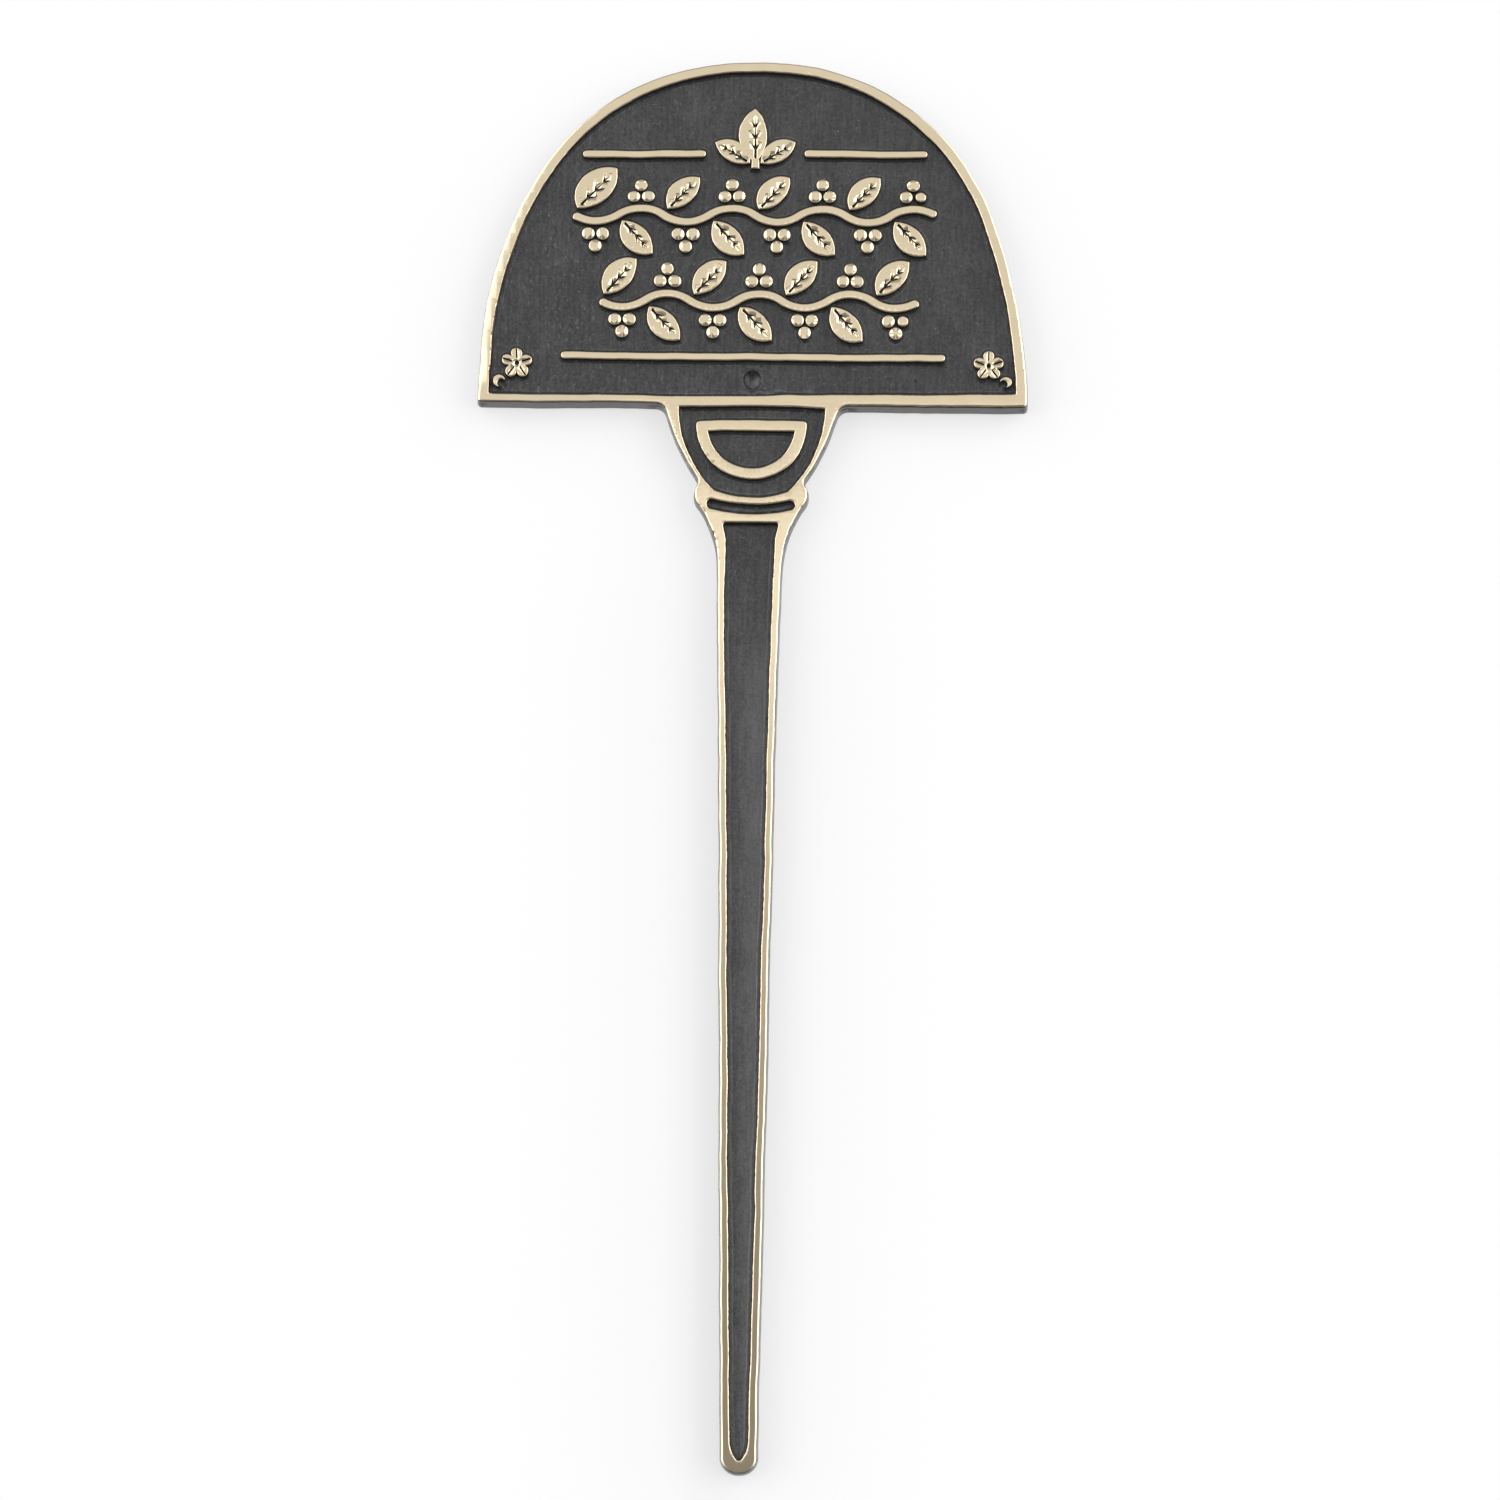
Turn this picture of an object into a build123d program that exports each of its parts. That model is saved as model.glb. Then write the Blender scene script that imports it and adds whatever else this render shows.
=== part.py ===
"""Cast plant label stake: an arched head, a cup and collar, and one long tapered blade.

The marker stands upright with its tip at the origin, +Z up, +X to the right seen from the front,
and its worked face towards -Y. The casting is a drafted silhouette of even depth. Its sunk fields
lie one relief height below the linished front, and every raised piece stops flush with that front.
"""
import os
from math import atan2, cos, radians, sin, tan

from build123d import *

os.makedirs("parts", exist_ok=True)

# The casting: its length, its depth behind and above the sunk field, and its mould draft.
overall_length = 380.0
backing_depth = 3.8
relief_height = 1.7
draft_angle = 5.0
rim_round = 0.6

# The arched head. The arch is three tangent arcs through two points, given as shares of its size.
head_width = 147.2
head_height = 94.9
crown_end_share = (0.156, 0.9928)
shoulder_end_share = (0.855, 0.572)
corner_round = 0.8
rim_width = 2.9
rail_width = 2.6

# The cup under the head: bowed sides, a D-shaped sunk field and the fillets up to the rail.
cup_width = 46.6
cup_depth = 21.6
cup_belly = 1.2
cup_root_round = 3.4
cup_head_rim = 3.8
cup_foot_rim = 3.85
cup_rail_rim = 1.0
cup_field_drop = 2.5
cup_field_sag = 4.3
cup_field_round = 0.9

# The collar: its waist, its swelling and the curved slot sunk across it.
waist_width = 27.3
waist_round = 1.4
collar_foot_round = 3.0
collar_height = 6.8
collar_swell = 1.3
slot_width = 23.4
slot_height = 2.4
slot_sag = 1.25
slot_drop = 7.65

# The blade: a hollow flute below the collar, a gentle upper taper, and the long taper to the tip.
flute_height = 16.6
blade_shoulder_width = 16.8
blade_upper_length = 41.0
blade_upper_width = 15.0
blade_ease_round = 600.0
tip_width = 9.2
tip_round = 4.4
tip_rim = 2.3
tip_end_rim = 3.6
groove_drop = 11.4
groove_mouth_width = 14.7
groove_mouth_height = 4.4
groove_throat_width = 12.9
groove_corner_round = 0.6
groove_foot_round = 2.2

# Plain raised ornaments: the D-shaped ring in the cup and the rules across the head.
ring_width = 29.9
ring_band = 3.45
ring_drop = 4.7
ring_bow = 1.7
ring_corner_round = 1.3
rule_height = 2.4
upper_rule_inset = 26.9
upper_rule_gap = 26.4
upper_rule_rise = 69.3
lower_rule_gap = 7.9
lower_rule_rise = 12.9
ornament_round = 0.45

# The blind dimple cast in the field below the lower rule, with its low lip.
dimple_width = 4.7
dimple_depth = 1.4
dimple_rise = 6.7
lip_width = 0.5
lip_height = 0.25
lip_slope = 30.0

# The two rows of running vine: a waved stem, one leaf a bend, and three berries opposite each leaf.
upper_row_length = 98.0
upper_row_rise = 51.7
upper_leaf_count = 8
lower_row_length = 86.0
lower_row_rise = 28.0
lower_leaf_count = 7
lower_row_shift = 1.5
stem_height = 2.6
stem_wave = 1.9
stem_end_round = 1.2
leaf_length = 13.0
leaf_width = 7.4
leaf_lean = 48.0
leaf_gap = 0.45
first_upper_leaf_length = 16.6
first_lower_leaf_length = 13.6
berry_width = 3.6
berry_pitch = 3.9
berry_gap = 0.4
berry_round = 0.8
vein_width = 0.75
vein_depth = 0.8
vein_lean = 38.0
midrib_start_share = 0.10
midrib_reach_share = 0.78
leaf_full_share = 0.58
vein_place_shares = (0.26, 0.46, 0.66)
vein_reach_shares = (0.30, 0.31, 0.22)

# The crest sprig: an upright middle leaf between two leaning ones, on a short stalk.
crest_rise = 66.4
crest_leaf_length = 15.6
crest_leaf_width = 8.0
crest_side_length = 11.6
crest_side_width = 6.2
crest_side_lean = 32.0
crest_side_shift = 1.3
crest_stalk_width = 2.6
crest_stalk_length = 3.0

# A five-petalled blossom with a bud beside it in each lower corner of the head.
blossom_inset = 10.2
blossom_rise = 10.4
petal_count = 5
petal_width = 3.4
petal_reach = 2.6
blossom_eye_width = 1.3
petal_slit_width = 0.45
bud_width = 3.4
bud_bite_width = 2.0
bud_bite_shift = 0.65
bud_inset = 5.6
bud_drop = 4.6
bud_round = 0.25

# Joints of the pattern that don't follow from another size.
arch_joint_rise = 2.0

# Levels up the marker and through its depth, worked out from the sizes above. The mould draft
# spreads every side wall from the front to the back, so the front outline stops short of both ends.
total_depth = backing_depth + relief_height
wall_spread = total_depth * tan(radians(draft_angle))
tip_z = wall_spread
crown_z = overall_length - wall_spread
rail_z = crown_z - head_height
waist_z = rail_z - cup_depth
collar_foot_z = waist_z - collar_height
shoulder_z = collar_foot_z - flute_height
front = Plane.XZ.offset(total_depth / 2)
field = front.offset(-relief_height)


def save(part, name):
    """Label a finished piece and write it under its own name."""
    part.label = name
    export_step(part, f"parts/{name}.step")
    print(f"{name:20s} {part.volume:10.2f} mm3")


def arch_lines():
    """Draw the right half of the arch from the crown down to the foot corner."""
    half_width = head_width / 2
    crown_end = (half_width * crown_end_share[0], rail_z + head_height * crown_end_share[1])
    shoulder_end = (half_width * shoulder_end_share[0], rail_z + head_height * shoulder_end_share[1])
    crown = TangentArc((0, crown_z), crown_end, tangent=(1, 0))
    shoulder = TangentArc(crown @ 1, shoulder_end, tangent=crown % 1)
    return TangentArc(shoulder @ 1, (half_width, rail_z), tangent=shoulder % 1)


def silhouette():
    """Outline of the whole marker at its front face."""
    waist = (waist_width / 2, waist_z)
    swell = (waist_width / 2 + collar_swell, waist_z - collar_height / 2)
    collar_foot = (waist_width / 2, collar_foot_z)
    shoulder = (blade_shoulder_width / 2, shoulder_z)
    upper_foot = (blade_upper_width / 2, shoulder_z - blade_upper_length)
    tip_corner = (tip_width / 2, tip_z)
    with BuildSketch() as outline:
        with BuildLine():
            flank = arch_lines()
            rail = Line(flank @ 1, (cup_width / 2, rail_z))
            cup = SagittaArc(rail @ 1, waist, cup_belly)
            ThreePointArc(cup @ 1, swell, collar_foot)
            upper = Line(shoulder, upper_foot)
            TangentArc(shoulder, collar_foot, tangent=upper % 0 * -1)
            Polyline(upper_foot, tip_corner, (0, tip_z))
            mirror(about=Plane.YZ)
        make_face()
        for corner_x, corner_z, radius in (
            (cup_width / 2, rail_z, cup_root_round),
            (head_width / 2, rail_z, corner_round),
            (*waist, waist_round),
            (*collar_foot, collar_foot_round),
            (*upper_foot, blade_ease_round),
            (*tip_corner, tip_round),
        ):
            near = [(corner_x, corner_z), (-corner_x, corner_z)]
            corners = [outline.vertices().sort_by_distance(point)[0] for point in near]
            fillet(corners, radius=radius)
    return outline.sketch


def head_field():
    """Sunk field of the head, one rim inside the arch and one rail above its foot."""
    with BuildSketch() as sunk:
        with BuildLine():
            flank = arch_lines()
            below_z = rail_z - rim_width - rail_width
            Polyline(flank @ 1, (head_width / 2, below_z), (0, below_z))
            mirror(about=Plane.YZ)
        make_face()
        offset(amount=-rim_width)
        with Locations((0, rail_z + rail_width)):
            Rectangle(
                head_width, 2 * rail_width + rim_width,
                align=(Align.CENTER, Align.MAX), mode=Mode.SUBTRACT,
            )
    return sunk.sketch


def cup_field():
    """Sunk field of the cup: a bowl with a sagging foot."""
    top = (cup_width / 2 - cup_head_rim, rail_z - cup_rail_rim)
    foot = (waist_width / 2 - cup_foot_rim, waist_z - cup_field_drop)
    with BuildSketch() as sunk:
        with BuildLine():
            Line((0, rail_z - cup_rail_rim), top)
            side = TangentArc(top, foot, tangent=(0, -1))
            ThreePointArc(side @ 1, (0, waist_z - cup_field_sag), (-foot[0], foot[1]))
            TangentArc((-top[0], top[1]), (-foot[0], foot[1]), tangent=(0, -1))
            Line((-top[0], top[1]), (0, rail_z - cup_rail_rim))
        make_face()
        fillet(sunk.vertices().group_by(Axis.Y)[0], radius=cup_field_round)
    return sunk.sketch


def collar_slot():
    """Curved slot sunk across the collar."""
    slot_z = waist_z - slot_drop
    reach = slot_width / 2 - slot_height / 2
    with BuildSketch() as sunk:
        bend = ThreePointArc(
            (-reach, slot_z + slot_sag), (0, slot_z), (reach, slot_z + slot_sag), mode=Mode.PRIVATE
        )
        SlotArc(bend, slot_height)
    return sunk.sketch


def blade_groove():
    """Long tapered groove of the blade, flared at its mouth and round at its foot."""
    mouth_z = waist_z - groove_drop
    throat_z = mouth_z - groove_mouth_height
    foot_corner = (tip_width / 2 - tip_rim, tip_z + tip_end_rim)
    with BuildSketch() as sunk:
        with BuildLine():
            mouth = Line((0, mouth_z), (groove_mouth_width / 2, mouth_z))
            throat = Line(mouth @ 1, (groove_throat_width / 2, throat_z))
            Polyline(throat @ 1, foot_corner, (0, foot_corner[1]))
            mirror(about=Plane.YZ)
        make_face()
        fillet(sunk.vertices().group_by(Axis.Y)[-1], radius=groove_corner_round)
        foot_corners = sunk.vertices().group_by(Axis.Y)[0]
        fillet(foot_corners, radius=groove_foot_round)
    return sunk.sketch


def ring_outline():
    """D-shaped ring: a straight bar above a bowed band, with its eye left open."""
    top_z = rail_z - ring_drop
    bow_z = top_z - ring_bow
    outer = ring_width / 2
    with BuildSketch() as eye:
        with Locations((0, bow_z)):
            Circle(outer - ring_band)
        with Locations((0, top_z - ring_band)):
            Rectangle(ring_width, outer, align=(Align.CENTER, Align.MIN), mode=Mode.SUBTRACT)
    with BuildSketch() as ring:
        with Locations((0, bow_z)):
            Circle(outer)
            Rectangle(ring_width, outer, align=(Align.CENTER, Align.MIN), mode=Mode.SUBTRACT)
            Rectangle(ring_width, ring_bow, align=(Align.CENTER, Align.MIN))
        fillet(ring.vertices().group_by(Axis.Y)[-1], radius=ring_corner_round)
        add(eye.sketch, mode=Mode.SUBTRACT)
    return ring.sketch


def leaf_outline(length, width, bow):
    """Leaf along +X from its foot at the origin, fuller on the side that bow gives, 1 or -1."""
    with BuildSketch() as leaf:
        with BuildLine():
            SagittaArc((0, 0), (length, 0), bow * width * leaf_full_share)
            SagittaArc((length, 0), (0, 0), bow * width * (1 - leaf_full_share))
        make_face()
    return leaf.sketch


def leaf_veins(length, width):
    """Incised midrib and side veins of a leaf, each a thin wedge that runs out to a point."""
    cut = vein_width
    with BuildSketch() as veins:
        with Locations((length * midrib_start_share, 0)):
            Polygon((0, -cut / 2), (length * midrib_reach_share, 0), (0, cut / 2), align=None)
        for place, reach in zip(vein_place_shares, vein_reach_shares):
            with Locations((length * place, 0)):
                for side in (1, -1):
                    Polygon(
                        (0, -cut / 2), (width * reach, 0), (0, cut / 2),
                        rotation=side * vein_lean, align=None,
                    )
    return veins.sketch


def raised_shape(outline, top_round):
    """Raise one outline from the field to the front, drafted, and ease its top edge."""
    with BuildPart() as shape:
        with BuildSketch(field):
            add(outline)
        extrude(amount=relief_height, taper=draft_angle)
        fillet(shape.faces().sort_by(Axis.Y)[0].edges(), radius=top_round)
    return shape.part


def raised(name, outlines, incised=None, top_round=ornament_round):
    """Make one ornament of its raised outlines, cut its incised lines and save it."""
    with BuildPart() as ornament:
        for outline in outlines:
            add(raised_shape(outline, top_round))
        if incised is not None:
            with BuildSketch(front):
                add(incised)
            extrude(amount=-vein_depth, mode=Mode.SUBTRACT)
    save(ornament.part, name)


def side_walls(part):
    """Faces of a part that run from its front to its back."""
    return part.faces().filter_by(lambda face: abs(face.normal_at(face.center()).Y) < sin(radians(45)))


def pocket(outline):
    """Drafted hollow of one sunk field, widest at the front."""
    with BuildPart() as hollow:
        with BuildSketch(front):
            add(outline)
        extrude(amount=-relief_height)
        draft(side_walls(hollow), neutral_plane=front, angle=-draft_angle)
    return hollow.part


# The drafted block of the whole casting, from its flat back to the linished front.
with BuildPart() as casting:
    with BuildSketch(front):
        add(silhouette())
    extrude(amount=-total_depth)
    draft(side_walls(casting), neutral_plane=front, angle=draft_angle)

# Everything raised that runs together, rims, rail and collar, round the sunk fields.
with BuildPart() as relief:
    add(casting.part)
    split(bisect_by=field, keep=Keep.TOP)
    for outline in (head_field(), cup_field(), collar_slot(), blade_groove()):
        add(pocket(outline), mode=Mode.SUBTRACT)
    fillet(relief.faces().sort_by(Axis.Y)[0].edges(), radius=rim_round)

# The pattern's joints, as level cuts across the marker.
arch_joint = Plane.XY.offset(rail_z + rail_width + arch_joint_rise)
cup_joint = Plane.XY.offset(rail_z - cup_root_round - cup_rail_rim)
waist_joint = Plane.XY.offset(waist_z)
blade_joint = Plane.XY.offset(waist_z - groove_drop)

# Backing of the head, with the blind dimple and its low lip.
with BuildPart() as head_plate:
    add(casting.part)
    split(bisect_by=field, keep=Keep.BOTTOM)
    split(bisect_by=cup_joint, keep=Keep.TOP)
    with BuildSketch(field):
        with Locations((0, rail_z + dimple_rise)):
            Circle(dimple_width / 2 + lip_width)
    extrude(amount=lip_height, taper=lip_slope)
    dimple_radius = (dimple_width ** 2 / 4 + dimple_depth ** 2) / (2 * dimple_depth)
    dimple_y = relief_height - total_depth / 2 + dimple_depth - dimple_radius
    with Locations((0, dimple_y, rail_z + dimple_rise)):
        Sphere(dimple_radius, mode=Mode.SUBTRACT)
save(head_plate.part, "head_plate")

# Backing of the cup and collar.
with BuildPart() as neck_plate:
    add(casting.part)
    split(bisect_by=field, keep=Keep.BOTTOM)
    split(bisect_by=cup_joint, keep=Keep.BOTTOM)
    split(bisect_by=blade_joint, keep=Keep.TOP)
save(neck_plate.part, "neck_plate")

# Backing of the long blade that goes into the soil.
with BuildPart() as stake_blade:
    add(casting.part)
    split(bisect_by=field, keep=Keep.BOTTOM)
    split(bisect_by=blade_joint, keep=Keep.BOTTOM)
save(stake_blade.part, "stake_blade")

# Raised rim of the arch.
with BuildPart() as arch_rim:
    add(relief.part)
    split(bisect_by=arch_joint, keep=Keep.TOP)
save(arch_rim.part, "arch_rim")

# Raised rail along the foot of the head, with the roots of the arch and of the cup.
with BuildPart() as foot_rail:
    add(relief.part)
    split(bisect_by=arch_joint, keep=Keep.BOTTOM)
    split(bisect_by=cup_joint, keep=Keep.TOP)
save(foot_rail.part, "foot_rail")

# Raised rims on the two sides of the cup.
for side_name, side in (("left", Keep.BOTTOM), ("right", Keep.TOP)):
    with BuildPart() as neck_rim:
        add(relief.part)
        split(bisect_by=cup_joint, keep=Keep.BOTTOM)
        split(bisect_by=waist_joint, keep=Keep.TOP)
        split(bisect_by=Plane.YZ, keep=side)
    save(neck_rim.part, f"neck_rim_{side_name}")

# Raised collar, with the curved slot sunk across it.
with BuildPart() as collar:
    add(relief.part)
    split(bisect_by=waist_joint, keep=Keep.BOTTOM)
    split(bisect_by=blade_joint, keep=Keep.TOP)
save(collar.part, "collar")

# Raised rim of the blade, one long narrow U round the groove.
with BuildPart() as stake_rim:
    add(relief.part)
    split(bisect_by=blade_joint, keep=Keep.BOTTOM)
save(stake_rim.part, "stake_rim")

raised("cup_ring", [ring_outline()])

# Rules: one each side of the crest, and one under the rows of vine.
upper_rule_length = head_width / 2 - upper_rule_gap / 2 - upper_rule_inset
for side_name, side in (("left", -1), ("right", 1)):
    with BuildSketch() as rule:
        with Locations((side * (upper_rule_gap + upper_rule_length) / 2, rail_z + upper_rule_rise)):
            SlotOverall(upper_rule_length, rule_height)
    raised(f"upper_rule_{side_name}", [rule.sketch])
blossom_reach = petal_reach + petal_width / 2
lower_rule_length = head_width - 2 * (blossom_inset + blossom_reach + lower_rule_gap)
with BuildSketch() as rule:
    with Locations((0, rail_z + lower_rule_rise)):
        SlotOverall(lower_rule_length, rule_height)
raised("lower_rule", [rule.sketch])

# Crest: a middle leaf between two leaning ones, on one stalk.
crest_leaves = [
    (0, crest_leaf_length, crest_leaf_width, 1, 90),
    (-crest_side_shift, crest_side_length, crest_side_width, -1, 180 - crest_side_lean),
    (crest_side_shift, crest_side_length, crest_side_width, 1, crest_side_lean),
]
crest_outlines = []
with BuildSketch() as crest_stalk:
    with Locations((0, rail_z + crest_rise)):
        Rectangle(crest_stalk_width, crest_stalk_length)
crest_outlines.append(crest_stalk.sketch)
for foot_x, length, width, bow, lean in crest_leaves:
    with BuildSketch() as leaf:
        with Locations((foot_x, rail_z + crest_rise)):
            add(leaf_outline(length, width, bow), rotation=lean)
    crest_outlines.append(leaf.sketch)
with BuildSketch() as crest_veins:
    for foot_x, length, width, bow, lean in crest_leaves:
        with Locations((foot_x, rail_z + crest_rise)):
            add(leaf_veins(length, width), rotation=lean)
raised("crest_sprig", crest_outlines, crest_veins.sketch)

# Corner blossoms, each with its crescent bud on the outer side.
for side_name, side in (("left", -1), ("right", 1)):
    blossom_place = (side * (head_width / 2 - blossom_inset), rail_z + blossom_rise)
    petals = []
    for place in PolarLocations(petal_reach, petal_count, start_angle=90):
        with BuildSketch() as petal:
            with Locations(blossom_place):
                with Locations(place):
                    Circle(petal_width / 2)
        petals.append(petal.sketch)
    with BuildSketch() as heart:
        with Locations(blossom_place):
            Circle(petal_reach)
    with BuildSketch() as blossom_cuts:
        with Locations(blossom_place):
            Circle(blossom_eye_width / 2)
            with PolarLocations(petal_reach, petal_count, start_angle=90):
                Rectangle(petal_reach, petal_slit_width)
    raised(f"blossom_{side_name}", [heart.sketch] + petals, blossom_cuts.sketch)

    bud_place = (side * (head_width / 2 - bud_inset), rail_z + blossom_rise - bud_drop)
    with BuildSketch() as bud:
        with Locations(bud_place):
            Circle(bud_width / 2)
        with Locations((bud_place[0] - side * bud_bite_shift, bud_place[1] - bud_bite_shift)):
            Circle(bud_bite_width / 2, mode=Mode.SUBTRACT)
    raised(f"bud_{side_name}", [bud.sketch], top_round=bud_round)


def vine_row(row_name, row_length, row_z, row_shift, leaf_count, first_length):
    """One row of running vine: its waved stem, a leaf in each bend and berries opposite it."""
    pitch = row_length / leaf_count
    start_x = row_shift - row_length / 2
    bends = [(start_x + pitch * index, 1 if index % 2 == 0 else -1) for index in range(leaf_count)]
    node_turn = 2 * atan2(2 * stem_wave, pitch)

    with BuildSketch() as stem:
        with BuildLine():
            for bend_x, up in bends:
                SagittaArc((bend_x, row_z), (bend_x + pitch, row_z), -up * stem_wave)
        trace(line_width=stem_height)
        ends = stem.vertices().sort_by(Axis.X)
        fillet(ends[:2] + ends[-2:], radius=stem_end_round)
    raised(f"vine_stem_{row_name}", [stem.sketch])

    leaf_offset = stem_height / 2 + leaf_gap
    for index, (bend_x, up) in enumerate(bends):
        length = first_length if index == 0 else leaf_length
        width = leaf_width * length / leaf_length
        foot = (bend_x + leaf_offset * sin(node_turn), row_z + up * leaf_offset * cos(node_turn))
        with BuildSketch() as leaf:
            with Locations(foot):
                add(leaf_outline(length, width, up), rotation=up * leaf_lean)
        with BuildSketch() as veins:
            with Locations(foot):
                add(leaf_veins(length, width), rotation=up * leaf_lean)
        raised(f"leaf_{row_name}_{index + 1}", [leaf.sketch], veins.sketch)

    near = stem_wave + stem_height / 2 + berry_gap + berry_width / 2
    far = near + berry_pitch * cos(radians(30))
    with BuildSketch() as berries:
        for bend_x, up in bends:
            middle_x = bend_x + pitch / 2
            with Locations(
                (middle_x - berry_pitch / 2, row_z - up * near),
                (middle_x + berry_pitch / 2, row_z - up * near),
                (middle_x, row_z - up * far),
            ):
                Circle(berry_width / 2)
    raised(f"berries_{row_name}", [berries.sketch], top_round=berry_round)


vine_row(
    "upper", upper_row_length, rail_z + upper_row_rise, 0, upper_leaf_count, first_upper_leaf_length
)
vine_row(
    "lower", lower_row_length, rail_z + lower_row_rise, lower_row_shift,
    lower_leaf_count, first_lower_leaf_length,
)
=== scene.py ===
"""Looks of a cast brass plant label stake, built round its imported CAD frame.

The marker is one sand casting. Its sunk ground is sprayed satin black, and its raised faces are
linished back to bright brass and lacquered. Metres, tip at the origin, front face towards -Y.
"""
import math

import bmesh
import bpy
from mathutils import Euler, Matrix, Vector, noise
from mathutils.bvhtree import BVHTree


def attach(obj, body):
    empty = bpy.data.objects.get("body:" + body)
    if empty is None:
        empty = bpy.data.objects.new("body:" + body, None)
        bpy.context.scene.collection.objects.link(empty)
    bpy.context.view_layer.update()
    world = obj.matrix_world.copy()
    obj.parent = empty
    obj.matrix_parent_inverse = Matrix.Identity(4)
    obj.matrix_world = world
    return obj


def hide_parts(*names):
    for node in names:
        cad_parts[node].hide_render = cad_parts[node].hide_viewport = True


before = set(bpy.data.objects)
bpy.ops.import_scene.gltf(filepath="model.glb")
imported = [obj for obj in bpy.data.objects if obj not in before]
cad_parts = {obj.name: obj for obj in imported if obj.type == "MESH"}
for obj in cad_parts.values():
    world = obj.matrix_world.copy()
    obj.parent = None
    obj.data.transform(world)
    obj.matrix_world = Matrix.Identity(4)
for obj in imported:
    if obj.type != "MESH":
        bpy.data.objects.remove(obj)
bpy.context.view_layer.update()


# The raised band: arch rim, foot rail, cup rims, collar and blade rim, one flush face of the
# casting. The belt leaves the brass bright on its front and round the eased arris. Below that come
# a brown line, where the paint thins out, and black paint down the wall.
FRONT_Y = -0.00275
BRASS = (0.825, 0.700, 0.490, 1)
TARNISHED_BRASS = (0.79, 0.665, 0.46, 1)
BROWN = (0.060, 0.025, 0.010, 1)
BLACK = (0.020, 0.020, 0.021, 1)
BARE_DEPTH = (0.00008, 0.00013)
BROWN_DEPTH = (0.00016, 0.00036)
PAINT_EDGE_WAVER = 0.00022
OUTER_WALL_WEAR = 0.00017
PAINT_ROUGHNESS = 0.30
POLISH = 0.21
HAMMERED = 0.000012
BELT_LINES = 0.000001


class Sock:
    """A socket of a node tree, so that shader maths can be written as plain expressions."""

    def __init__(self, tree, socket=None):
        self.tree, self.socket = tree, socket

    def node(self, kind, settings=None, inputs=None, output=0):
        """Add a node to the tree, set it, feed its sockets, and return one of its outputs."""
        made = self.tree.nodes.new(kind)
        for key, value in (settings or {}).items():
            setattr(made, key, value)
        pairs = enumerate(inputs) if isinstance(inputs, list) else (inputs or {}).items()
        for key, value in pairs:
            if isinstance(value, Sock):
                value.feed(made.inputs[key])
            else:
                made.inputs[key].default_value = value
        return Sock(self.tree, made.outputs[output])

    def feed(self, target):
        self.tree.links.new(self.socket, target)

    def math(self, operation, *others):
        return self.node("ShaderNodeMath", {"operation": operation}, [self, *others])

    def __add__(self, other):
        return self.math("ADD", other)

    def __sub__(self, other):
        return self.math("SUBTRACT", other)

    def __rsub__(self, other):
        return self.node("ShaderNodeMath", {"operation": "SUBTRACT"}, [other, self])

    def __mul__(self, other):
        return self.math("MULTIPLY", other)

    __radd__ = __add__
    __rmul__ = __mul__

    def ramp(self, low, high):
        """0 at low, 1 at high, eased between."""
        settings = {"interpolation_type": "SMOOTHSTEP"}
        return self.node("ShaderNodeMapRange", settings, [self, low, high, 0.0, 1.0])

    def mix(self, first, second):
        """Colour that goes from first to second as this goes from 0 to 1."""
        colours = {0: self, 6: first, 7: second}
        return self.node("ShaderNodeMix", {"data_type": "RGBA"}, colours, 2)


def new_finish(name, specular):
    """Start a material, and return it with its shader and the place of a point in the frame."""
    material = bpy.data.materials.new(name)
    material.use_nodes = True
    shader = material.node_tree.nodes["Principled BSDF"]
    shader.inputs["Specular IOR Level"].default_value = specular
    place = Sock(material.node_tree).node("ShaderNodeTexCoord", output=3)
    return material, shader, place


def along(place, axis):
    """One coordinate of a place or a direction."""
    return place.node("ShaderNodeSeparateXYZ", None, [place], axis)


def grain(place, scale, detail=2.0, roughness=0.5, upright=1.0):
    """Noise from 0 to 1, in cells a metre, drawn out up the marker where upright is under 1."""
    if upright != 1.0:
        stretch = (1.0, 1.0, upright)
        place = place.node("ShaderNodeVectorMath", {"operation": "MULTIPLY"}, [place, stretch])
    return place.node("ShaderNodeTexNoise", None, {0: place, 2: scale, 3: detail, 4: roughness})


def marked(place, name):
    """The value that a piece's points carry under a name."""
    return place.node("ShaderNodeAttribute", {"attribute_name": name}, output=2)


brass, shader, place = new_finish("linished_brass", 0.5)
depth = along(place, 1) - FRONT_Y
edge_waver = (grain(place, 700.0, 3.0) - 0.5) * PAINT_EDGE_WAVER
worn = depth + edge_waver - marked(place, "outer") * OUTER_WALL_WEAR - marked(place, "rolled")
bare = 1.0 - worn.ramp(*BARE_DEPTH)
stain = 1.0 - worn.ramp(*BROWN_DEPTH)
mottle = grain(place, 160.0, 4.0).ramp(0.3, 0.7)
colour = bare.mix(stain.mix(BLACK, BROWN), mottle.mix(BRASS, TARNISHED_BRASS))
colour.feed(shader.inputs["Base Color"])
bare.feed(shader.inputs["Metallic"])
linish = grain(place, 5200.0, 2.0, upright=0.06)
gloss = PAINT_ROUGHNESS - bare * POLISH + (linish - 0.5) * 0.02
gloss.feed(shader.inputs["Roughness"])
relief = grain(place, 420.0, 3.0) * HAMMERED + linish * BELT_LINES
bump = place.node("ShaderNodeBump", None, {0: 0.6, 1: 1.0, "Height": relief})
bump.feed(shader.inputs["Normal"])

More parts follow.
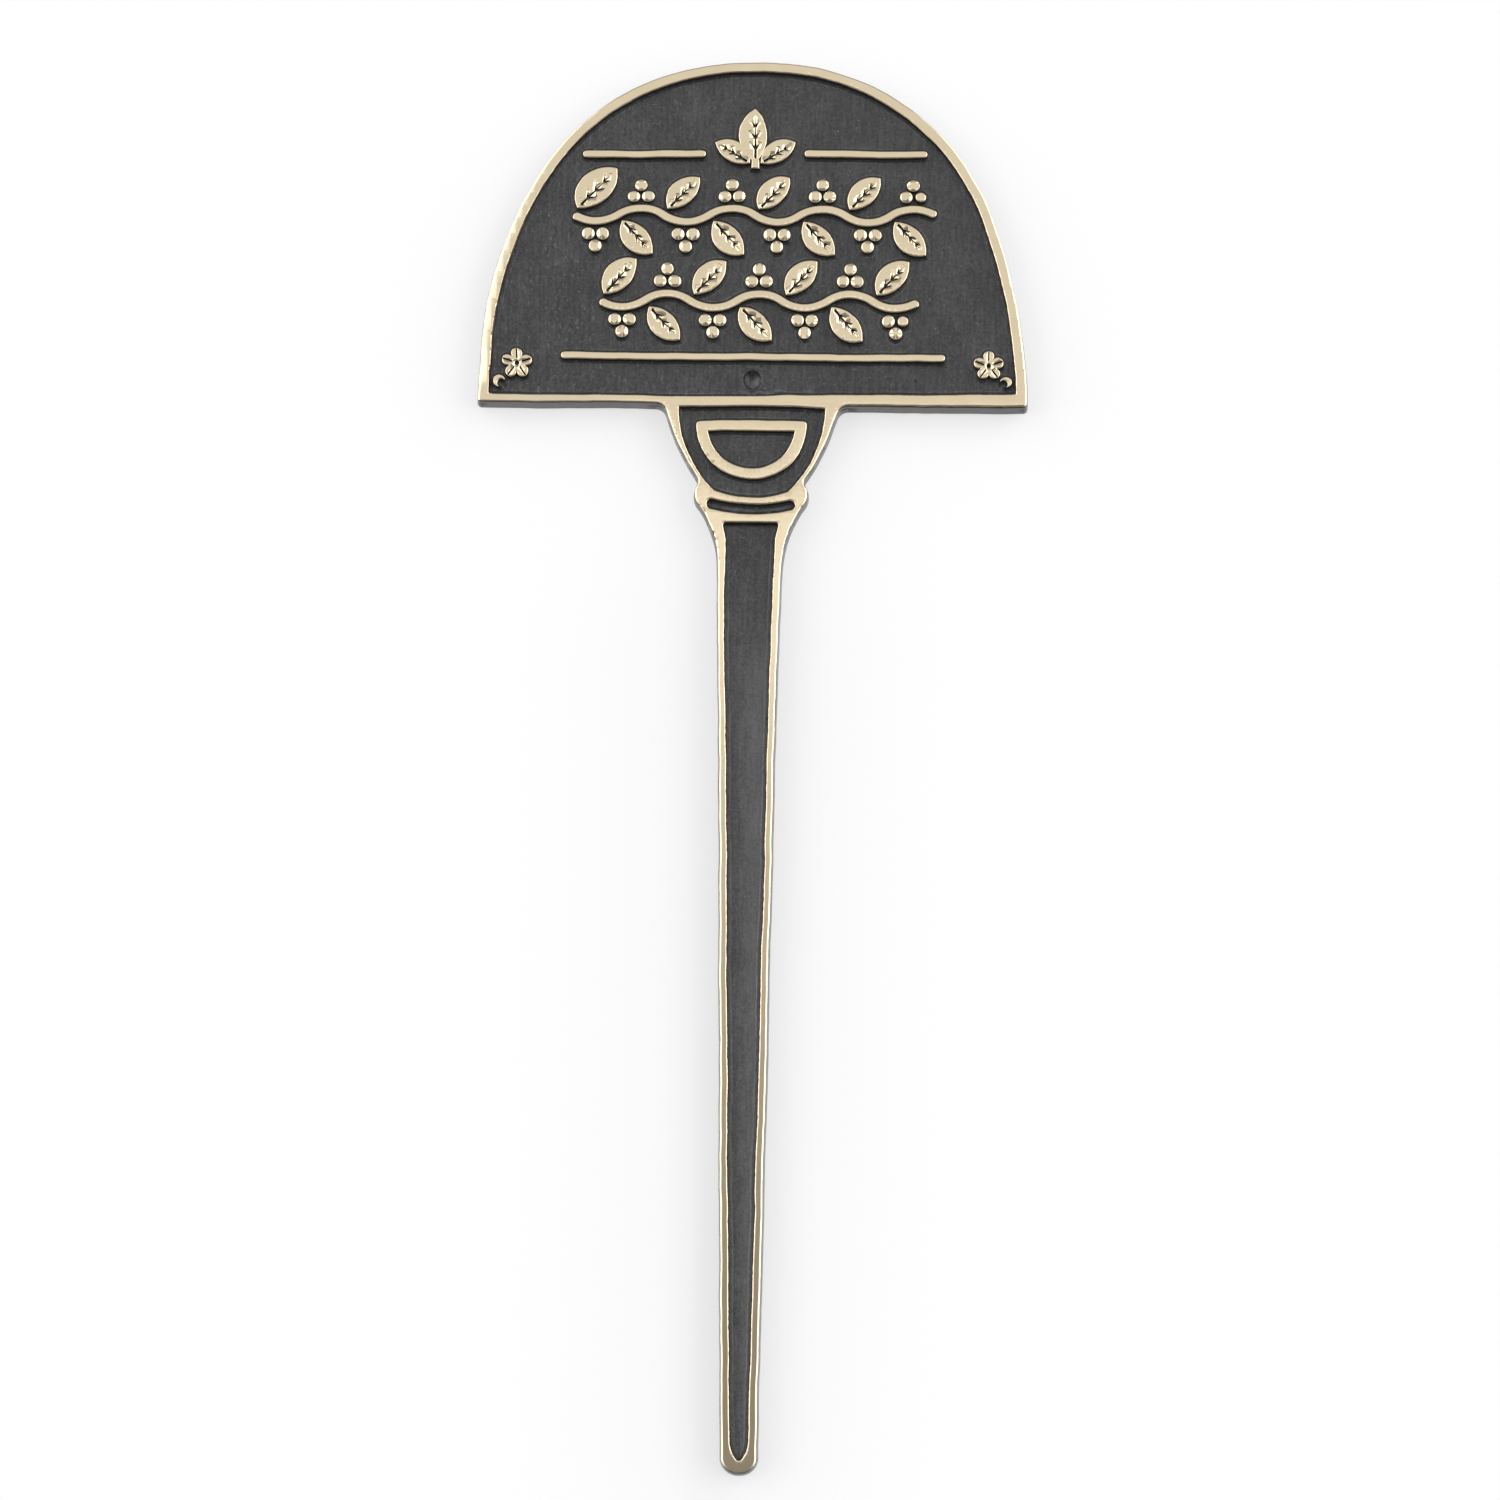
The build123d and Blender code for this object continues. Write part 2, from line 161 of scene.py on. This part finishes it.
# Its shape: a copy of the CAD pieces, cut into a net and pushed about as hand work left the
# pattern. One field moves every piece of the marker, so that the pieces stay seated.
BAND = ("arch_rim", "foot_rail", "neck_rim_left", "neck_rim_right", "collar", "stake_rim")
RAISED_NET = 0.0015
NET_SHIFT = 0.45  # share of a cell that keeps the cuts off the middle line
JOINT_FIT = 0.000002
WAVES = ((0.021, 0.00022), (0.0062, 0.00016), (0.0026, 0.00005))  # length and height of each
WAVE_SEED = 2108
ARCH_OVER_FOOT = 0.0046
FOOT_Z = min(vert.co.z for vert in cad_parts["arch_rim"].data.vertices) - ARCH_OVER_FOOT
RAIL_WIDTH = 0.0026
MID_WALL_Y = -0.0018
WALL_CLEAR = 0.0008
ARCH_HEART = Vector((0, 0, 0.300))
ROLL_START = 0.0003
ROLL_REACH = 0.0027
ROLL_DEPTH = 0.00070
ARRIS_ANGLE = math.radians(38)

noise.seed_set(WAVE_SEED)


def ease(value, low, high):
    """0 at low, 1 at high, eased between."""
    share = min(1.0, max(0.0, (value - low) / (high - low)))
    return share * share * (3 - 2 * share)


def rail_askew(point):
    """Lift of the foot rail, whose lower and upper edges each run out of level in their own way."""
    over_foot = point.z - FOOT_Z
    lower_edge = -0.00030 - 0.00060 * ease(point.x, 0.005, 0.030)
    upper_edge = -0.00077 + 0.0036 * point.x + 0.115 * point.x ** 2
    upper_edge += 0.0004 * ease(point.x, 0.0, 0.012)
    share = min(1.0, max(0.0, over_foot / RAIL_WIDTH))
    nearby = ease(over_foot, -0.007, -0.001) * (1.0 - ease(over_foot, 0.003, 0.010))
    return (lower_edge + (upper_edge - lower_edge) * share) * nearby


def crown_sag(point):
    """Drop of the arch's crown, more on its left."""
    drop = 0.0004 + 0.0005 * ease(-point.x, 0.0, 0.035)
    return drop * ease(point.z, 0.335, 0.350)


def shoulder_bulge(point):
    """How far the arch's left shoulder stands out."""
    low_on_arch = ease(point.z, 0.294, 0.310) * (1.0 - ease(point.z, 0.316, 0.345))
    return 0.0009 * low_on_arch * ease(-point.x, 0.045, 0.060)


def blade_lean(point):
    """Shift of the blade, which stands a little left, is narrower, and thin in its left rim."""
    lean = -0.00038 - 0.018 * point.x
    thin_height = ease(point.z, 0.206, 0.216) * (1.0 - ease(point.z, 0.232, 0.242))
    thin_side = ease(point.x, -0.0078, -0.0064) * ease(-point.x, 0.0, 0.004)
    return lean * (1.0 - ease(point.z, 0.226, 0.254)) - 0.00028 * thin_height * thin_side


def groove_pinch(point):
    """Share by which the groove closes in near the tip, with the outside left alone."""
    near_tip = ease(-point.z, -0.0085, -0.0050) * ease(point.z, 0.0024, 0.0042)
    return 0.36 * near_tip * (1.0 - ease(abs(point.x), 0.0021, 0.0034))


def hand_cut(point):
    """Shift of a point of the pattern from its drawn place, across the face of the marker."""
    shift = Vector((0, 0, 0))
    for length, height in WAVES:
        shift += noise.noise_vector(Vector((point.x, 0, point.z)) / length) * height
    shift.y = 0
    shift.x += blade_lean(point) - shoulder_bulge(point) - groove_pinch(point) * point.x
    shift.z += rail_askew(point) - crown_sag(point)
    return shift


def cut_net(mesh, spacing):
    """Cut a mesh along level and upright planes a given distance apart."""
    for axis in (0, 2):
        lowest = min(vert.co[axis] for vert in mesh.verts)
        highest = max(vert.co[axis] for vert in mesh.verts)
        normal = Vector((0, 0, 0))
        normal[axis] = 1
        for step in range(math.ceil(lowest / spacing), math.ceil(highest / spacing)):
            place = normal * (step - NET_SHIFT) * spacing
            everything = mesh.verts[:] + mesh.edges[:] + mesh.faces[:]
            bmesh.ops.bisect_plane(mesh, geom=everything, plane_co=place, plane_no=normal)


def casting_copy(nodes, spacing):
    """Merged copy of CAD nodes that stand on each other, opened at their joints and cut."""
    mesh = bmesh.new()
    feet, heads = [], []
    for node in nodes:
        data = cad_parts[node].data
        mesh.from_mesh(data)
        feet.append(min(vert.co.z for vert in data.vertices))
        heads.append(max(vert.co.z for vert in data.vertices))
    joints = [foot for foot in feet if any(abs(foot - head) < JOINT_FIT for head in heads)]
    bmesh.ops.remove_doubles(mesh, verts=mesh.verts, dist=JOINT_FIT)
    caps = [
        face for face in mesh.faces
        if abs(face.normal.z) > 0.999
        and any(abs(face.calc_center_median().z - joint) < JOINT_FIT for joint in joints)
    ]
    bmesh.ops.delete(mesh, geom=caps, context="FACES_ONLY")
    bmesh.ops.remove_doubles(mesh, verts=mesh.verts, dist=JOINT_FIT * 4)
    flat = math.radians(0.2)
    bmesh.ops.dissolve_limit(mesh, angle_limit=flat, verts=mesh.verts, edges=mesh.edges)
    cut_net(mesh, spacing)
    return mesh


def mark_outer_walls(mesh, walls):
    """Mark the walls that look away from the marker, which the belt's edge wears further down."""
    outer = mesh.verts.layers.float.new("outer")
    for vert in mesh.verts:
        aside = Vector((vert.normal.x, 0, vert.normal.z))
        if aside.length > 0.1:
            aside.normalize()
            start = Vector((vert.co.x, MID_WALL_Y, vert.co.z)) + aside * WALL_CLEAR
            open_air = walls.ray_cast(start, aside, 0.2)[0] is None
            vert[outer] = 1.0 if aside.z > -0.6 and open_air else 0.0


def roll_left_edge(mesh, walls):
    """Roll off the outer edge of the arch's left side, and mark how deep, as it stays bright."""
    rolled = mesh.verts.layers.float.new("rolled")
    for vert in mesh.verts:
        outward = (Vector((vert.co.x, 0, vert.co.z)) - ARCH_HEART).normalized()
        start = Vector((vert.co.x, MID_WALL_Y, vert.co.z)) - outward * ROLL_START
        hit = walls.ray_cast(start, outward, 0.004)
        inside = max(0.0, hit[3] - ROLL_START) if hit[0] else 0.0
        share = max(0.0, 1.0 - inside / ROLL_REACH)
        on_left = ease(-vert.co.x, 0.030, 0.058) * ease(vert.co.z, 0.284, 0.290)
        if vert.co.y < MID_WALL_Y:
            vert[rolled] = ROLL_DEPTH * share ** 1.5 * on_left
            vert.co.y += vert[rolled]


def finish_piece(mesh, name, nodes, material):
    """Make the piece of its mesh, shade it smooth between its arrises, and seat it on the frame."""
    data = bpy.data.meshes.new(name)
    bmesh.ops.triangulate(mesh, faces=[face for face in mesh.faces if len(face.verts) > 4])
    mesh.to_mesh(data)
    mesh.free()
    data.shade_smooth()
    data.set_sharp_from_angle(angle=ARRIS_ANGLE)
    for face in data.polygons:
        face.use_smooth = face.normal.y < 0.99
    piece = bpy.data.objects.new(name, data)
    bpy.context.collection.objects.link(piece)
    weighted = piece.modifiers.new("Weighted", "WEIGHTED_NORMAL")
    weighted.keep_sharp = True
    weighted.weight = 90
    data.materials.append(material)
    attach(piece, "root")
    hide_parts(*nodes)


mesh = casting_copy(BAND, RAISED_NET)
for vert in mesh.verts:
    vert.co += hand_cut(vert.co)
walls = BVHTree.FromBMesh(mesh)
mark_outer_walls(mesh, walls)
roll_left_edge(mesh, walls)
mesh.verts.index_update()
raised_points = [vert.co.copy() for vert in mesh.verts]
raised_faces = [[vert.index for vert in face.verts] for face in mesh.faces]
finish_piece(mesh, "cast_band", BAND, brass)


# Raised ornament: the cup's ring, the rules, the crest, blossoms and buds, and the two rows of
# vine, each its own island of the casting, flush with the band and linished with it.
PLATES = ("head_plate", "neck_plate", "stake_blade")
RULE_STRETCH = 0.013
RULE_DROP = 0.0004

for node in sorted(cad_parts):
    if node in PLATES + BAND:
        continue
    mesh = casting_copy((node,), RAISED_NET)
    for vert in mesh.verts:
        vert.co += hand_cut(vert.co)
        if node == "lower_rule":
            vert.co += Vector((vert.co.x * RULE_STRETCH, 0, -RULE_DROP))
    mesh.verts.index_update()
    first = len(raised_points)
    raised_points += [vert.co.copy() for vert in mesh.verts]
    raised_faces += [[vert.index + first for vert in face.verts] for face in mesh.faces]
    finish_piece(mesh, "cast_" + node, (node,), brass)


# Painted backing of head, cup and blade: the flat-backed body of the casting, sprayed satin black
# over the skin of the sand and lacquered. The paint shows faint upright streaks and specks. Painted
# into its colour are shade in a dark line at the foot of each raised shape, a thin painted
# highlight just outside that line, a painted sheen lightening the blade's groove towards its right,
# and painted light on the lower right of the dimple and its lip.
FIELD_Y = -0.00105
GROUND = (0.042, 0.042, 0.043)
SPECK = (0.11, 0.11, 0.112, 1)
DARKEST = 0.65
PAINTED_FOOT_SHADE_DARK = 0.70
PIT = (0.0437, FIELD_Y, 0.2912)
PIT_DARK = 0.85

paint, shader, place = new_finish("satin_black_paint", 0.5)
streaks = grain(place, 1100.0, 3.0, 0.6, upright=0.10)
sand = grain(place, 1500.0, 2.0, 0.6)
cloud = grain(place, 70.0, 4.0, 0.6)
specks = grain(place, 1300.0, 1.0).ramp(0.70, 0.76)
uneven = 1.0 + (cloud - 0.5) * 1.3 + (streaks - 0.5) * 1.7 + (sand - 0.5) * 2.2
uneven = uneven.math("MAXIMUM", DARKEST)
ragged = marked(place, "foot") + (grain(place, 900.0, 3.0) - 0.5) * 0.5
# painted shade: the paint darkens in a ragged line at the foot of each raised wall, where shade
# falls
painted_foot_shade = ragged.ramp(0.38, 0.58)
# painted highlight: a thin ragged band just outside the painted foot shade is lightened, as a gloss
# line along the fillet
painted_highlight_band = ragged.ramp(0.08, 0.22) * (1.0 - ragged.ramp(0.28, 0.42))
from_pit = place.node("ShaderNodeVectorMath", {"operation": "DISTANCE"}, [place, PIT], 1)
pit = 1.0 - from_pit.ramp(0.00035, 0.00060)
on_left = 1.0 - along(place, 0).ramp(-0.065, 0.020)
flecks = grain(place, 1500.0, 2.0, upright=0.4).ramp(0.60, 0.74) * on_left
painted_ridge_highlight = painted_highlight_band * (cloud.ramp(0.42, 0.60) * 0.9 + 0.15)
# the paint's own uneven tone, plus the painted highlight and the painted sheen and light of the
# groove and dimple
shade = uneven + painted_ridge_highlight + marked(place, "painted_sheen") + flecks * 1.6
shade = shade * (1.0 - painted_foot_shade * PAINTED_FOOT_SHADE_DARK) * (1.0 - pit * PIT_DARK)
tone = place.node("ShaderNodeVectorMath", {"operation": "SCALE"}, {0: GROUND, 3: shade})
specks.mix(tone, SPECK).feed(shader.inputs["Base Color"])
patchy = (streaks - 0.5) * 0.3 + (sand - 0.5) * 0.4 + (cloud - 0.5) * 0.3
gloss = 0.33 + patchy + painted_foot_shade * 0.10
gloss.feed(shader.inputs["Roughness"])
relief = sand * 0.00005 + streaks * 0.00008 + specks * 0.00006 + cloud * 0.00010
bump = place.node("ShaderNodeBump", None, {0: 1.0, 1: 1.0, "Height": relief})
bump.feed(shader.inputs["Normal"])

# Its shape: the ground rises in a small fillet to the foot of each raised wall, stands up in a low
# lip round the dimple, swells along the blade's edge and carries the pebbles of the sand.
LEVEL_FIT = 0.00001
PLATE_NET = 0.003
GROUND_CUTS = 5
FILLET_REACH = 0.0011
FILLET_HEIGHT = 0.00030
WALL_NEAR = 0.00008
PEBBLES = ((0.0011, 0.00003), (0.0035, 0.00004))
SWELL_HEIGHT = 0.00030
SWELL_LIMIT = 0.0006
GROOVE_TIP_HALF = 0.0023
GROOVE_TAPER = 0.0166
DIMPLE = Vector((0, 0, FOOT_Z + 0.0067))
DIMPLE_RADIUS = 0.0023
LIP_RADIUS = 0.0028
LIP_WIDTH = 0.0007
LIP_HEIGHT = 0.00012
LOWER_RIGHT = Vector((0.6, 0, -0.8))

raised_tree = BVHTree.FromPolygons(raised_points, raised_faces)


def ground_quads(mesh):
    """Whole cells of the net on the sunk ground."""
    return [
        face for face in mesh.faces
        if len(face.verts) == 4 and face.normal.y < -0.999
        and abs(face.calc_center_median().y - FIELD_Y) < LEVEL_FIT
    ]


def finer(mesh, faces, cuts):
    """Split faces into smaller ones by cutting each of their edges."""
    edges = list({edge for face in faces for edge in face.edges})
    bmesh.ops.subdivide_edges(mesh, edges=edges, cuts=cuts, use_grid_fill=True)
    mesh.normal_update()


def by_a_wall(face):
    """True where a cell lies in the reach of a fillet, and not under the raised piece itself."""
    middle = face.calc_center_median()
    near = raised_tree.find_nearest(middle + hand_cut(middle), FILLET_REACH * 1.2)[3]
    return near is not None and near > WALL_NEAR


def across_groove(point):
    """Place across the blade's groove, from -1 at its left edge to 1 at its right."""
    return point.x / (GROOVE_TIP_HALF + point.z * GROOVE_TAPER)


def skin_height(point, rise, lip):
    """Height of the cast skin over the drawn level of the ground."""
    pebbles = sum(noise.noise(point / size) * height for size, height in PEBBLES)
    fillet = rise * rise * FILLET_HEIGHT * (1.0 + noise.noise(point / 0.0016) * 0.5)
    swell = SWELL_HEIGHT * (across_groove(point) + 0.25) ** 2 * (1.0 - ease(point.z, 0.225, 0.25))
    return fillet + pebbles + min(swell, SWELL_LIMIT) + lip * LIP_HEIGHT


for name, nodes in (("painted_head", PLATES[:2]), ("painted_blade", PLATES[2:])):
    mesh = casting_copy(nodes, PLATE_NET)
    finer(mesh, ground_quads(mesh), GROUND_CUTS)
    finer(mesh, [face for face in ground_quads(mesh) if by_a_wall(face)], 1)
    foot = mesh.verts.layers.float.new("foot")
    painted_sheen = mesh.verts.layers.float.new("painted_sheen")
    for vert in mesh.verts:
        flat = vert.normal.y < -0.9 and abs(vert.co.y - FIELD_Y) < LEVEL_FIT
        vert.co += hand_cut(vert.co)
        from_dimple = Vector((vert.co.x, 0, vert.co.z)) - DIMPLE
        lower_right = ease(from_dimple.normalized().dot(LOWER_RIGHT), -0.2, 1.0)
        if flat:
            near = raised_tree.find_nearest(vert.co, FILLET_REACH)[3]
            rise = 0.0 if near is None else 1.0 - near / FILLET_REACH
            lip = max(0.0, 1.0 - abs(from_dimple.length - LIP_RADIUS) / LIP_WIDTH)
            # painted sheen: the blade's groove is lightened below the neck, more towards its right
            # side
            in_groove = 1.0 - ease(vert.co.z, 0.200, 0.235)
            groove_sheen = in_groove * (0.3 + ease(across_groove(vert.co), -0.9, 0.6))
            vert.co.y -= skin_height(vert.co, rise, lip)
            vert[foot] = rise
            # painted light: the lip round the dimple is lightened, most on its lower right
            vert[painted_sheen] = groove_sheen + lip * (0.5 + lower_right * 1.6)
        elif from_dimple.length < DIMPLE_RADIUS and vert.normal.y < -0.1:
            # painted light and shade inside the dimple: lighter on its lower right, darker on its
            # upper left
            vert[painted_sheen] = lower_right * 2.0 - 0.5
    finish_piece(mesh, name, nodes, paint)


# Backdrop: a pale sheet close behind the marker, which takes the soft shadow round the casting. It
# lights itself for the camera, is clear from behind, and throws nothing back on the brass. Its glow
# also carries a painted shadow: a broad one round the blade below the head, and a narrow one close
# along the blade, deepest towards the tip.
SHEET_Y = 0.0048
SHEET_MIDDLE_Z = 0.19
SHEET_GREY = (0.39, 0.39, 0.39, 1)
SHEET_GLOW = 0.61
SHADE_X = -0.006
BROAD_SHADE = 0.045
NARROW_SHADE = 0.05

backdrop, shader, place = new_finish("pale_sheet", 0.0)
shader.inputs["Base Color"].default_value = SHEET_GREY
shader.inputs["Roughness"].default_value = 1.0
from_blade = (along(place, 0) - SHADE_X).math("ABSOLUTE")
up = along(place, 2)
broad = (1.0 - from_blade.ramp(0.0, 0.075)) * (1.0 - up.ramp(0.21, 0.27))
narrow = (1.0 - from_blade.ramp(0.0, 0.016)) * (1.0 - up.ramp(0.0, 0.24))
# painted shadow in the sheet's glow, darker near the blade and towards its tip
glow_with_painted_shadow = 1.0 - broad * BROAD_SHADE - narrow * NARROW_SHADE
glow_with_painted_shadow.mix((0, 0, 0, 1), (1, 1, 1, 1)).feed(shader.inputs["Emission Color"])
seen = place.node("ShaderNodeLightPath")
(seen * SHEET_GLOW).feed(shader.inputs["Emission Strength"])
clear = place.node("ShaderNodeBsdfTransparent")
from_behind = place.node("ShaderNodeNewGeometry", output=6)
front = Sock(place.tree, shader.outputs[0])
surface = place.node("ShaderNodeMixShader", None, [from_behind, front, clear])
surface.feed(place.tree.nodes["Material Output"].inputs["Surface"])

mesh = bmesh.new()
bmesh.ops.create_grid(mesh, x_segments=1, y_segments=1, size=1.0)
upright = Euler((math.radians(90), 0, 0)).to_matrix()
bmesh.ops.rotate(mesh, verts=mesh.verts, matrix=upright)
bmesh.ops.translate(mesh, verts=mesh.verts, vec=(0, SHEET_Y, SHEET_MIDDLE_Z))
data = bpy.data.meshes.new("sheet")
mesh.to_mesh(data)
mesh.free()
data.materials.append(backdrop)
sheet = bpy.data.objects.new("sheet", data)
bpy.context.collection.objects.link(sheet)
sheet.visible_diffuse = sheet.visible_glossy = False
sheet.visible_shadow = sheet.visible_transmission = False


# Camera at the photograph's angle: in front of the marker, nine degrees below its middle and a
# degree to its right, rolled a little about its own axis.
CAMERA_TURN = math.radians(1.0)
CAMERA_DROP = math.radians(-9.0)
CAMERA_ROLL = math.radians(0.68)
CAMERA_REACH = 1.3
CENTRE = Vector((0.0005, 0, 0.1907))

to_camera = Vector((
    math.sin(CAMERA_TURN) * math.cos(CAMERA_DROP),
    -math.cos(CAMERA_TURN) * math.cos(CAMERA_DROP),
    math.sin(CAMERA_DROP),
))
camera_data = bpy.data.cameras.new("camera")
camera_data.sensor_width = 36
camera_data.lens = 117.5
camera_data.clip_start, camera_data.clip_end = 0.05, 20
camera = bpy.data.objects.new("camera", camera_data)
bpy.context.collection.objects.link(camera)
bpy.context.scene.camera = camera
camera.location = CENTRE + to_camera * CAMERA_REACH
camera.rotation_mode = "QUATERNION"
camera.rotation_quaternion = (-to_camera).to_track_quat("-Z", "Y")
camera.rotation_quaternion @= Euler((0, 0, CAMERA_ROLL)).to_quaternion()


# Studio: a bright room, dimmer towards the camera, overhead and on the floor in front. A tall soft
# box at each side lights the eased arrises, a thin level light above the camera shows in the
# rail and the collar, and the camera itself sees white.
ROOM = 0.86
CAMERA_HOLE = (math.cos(math.radians(20.1)), math.cos(math.radians(10.0)))
SOFT_BOX = 1.15
RIGHT_BOX_MORE = 0.35
LINE_LIGHT = 0.34
HOLE_DIM = 0.545
CEILING_DIM = 0.40
FLOOR_DIM = 0.72

world = bpy.data.worlds.new("studio")
bpy.context.scene.world = world
world.use_nodes = True
shader = world.node_tree.nodes["Background"]
shader.inputs["Color"].default_value = (1, 1, 1, 1)
direction = Sock(world.node_tree).node("ShaderNodeTexCoord", output=0)
aims = [direction, tuple(to_camera)]
toward = direction.node("ShaderNodeVectorMath", {"operation": "DOT_PRODUCT"}, aims, 1)
right, backward, height = (along(direction, axis) for axis in range(3))
sideways = right.math("ABSOLUTE")
hole = toward.ramp(*CAMERA_HOLE)
boxes = sideways.ramp(0.44, 0.60) * (SOFT_BOX + right.ramp(-0.3, 0.3) * RIGHT_BOX_MORE)
line = height.ramp(0.155, 0.180) * (1.0 - height.ramp(0.2070, 0.2120))
line = line * (1.0 - sideways.ramp(0.10, 0.30))
ceiling = height.ramp(0.60, 0.92)
floor = (1.0 - height.ramp(-0.50, -0.12)) * (1.0 - backward.ramp(-0.1, 0.5))
light = ROOM + boxes + line * LINE_LIGHT - hole * HOLE_DIM - ceiling * CEILING_DIM
light = light * (1.0 - floor * FLOOR_DIM)
seen = direction.node("ShaderNodeLightPath")
strength = light + seen * (1.0 - light)
strength.feed(shader.inputs["Strength"])

bpy.context.scene.view_settings.view_transform = "Standard"
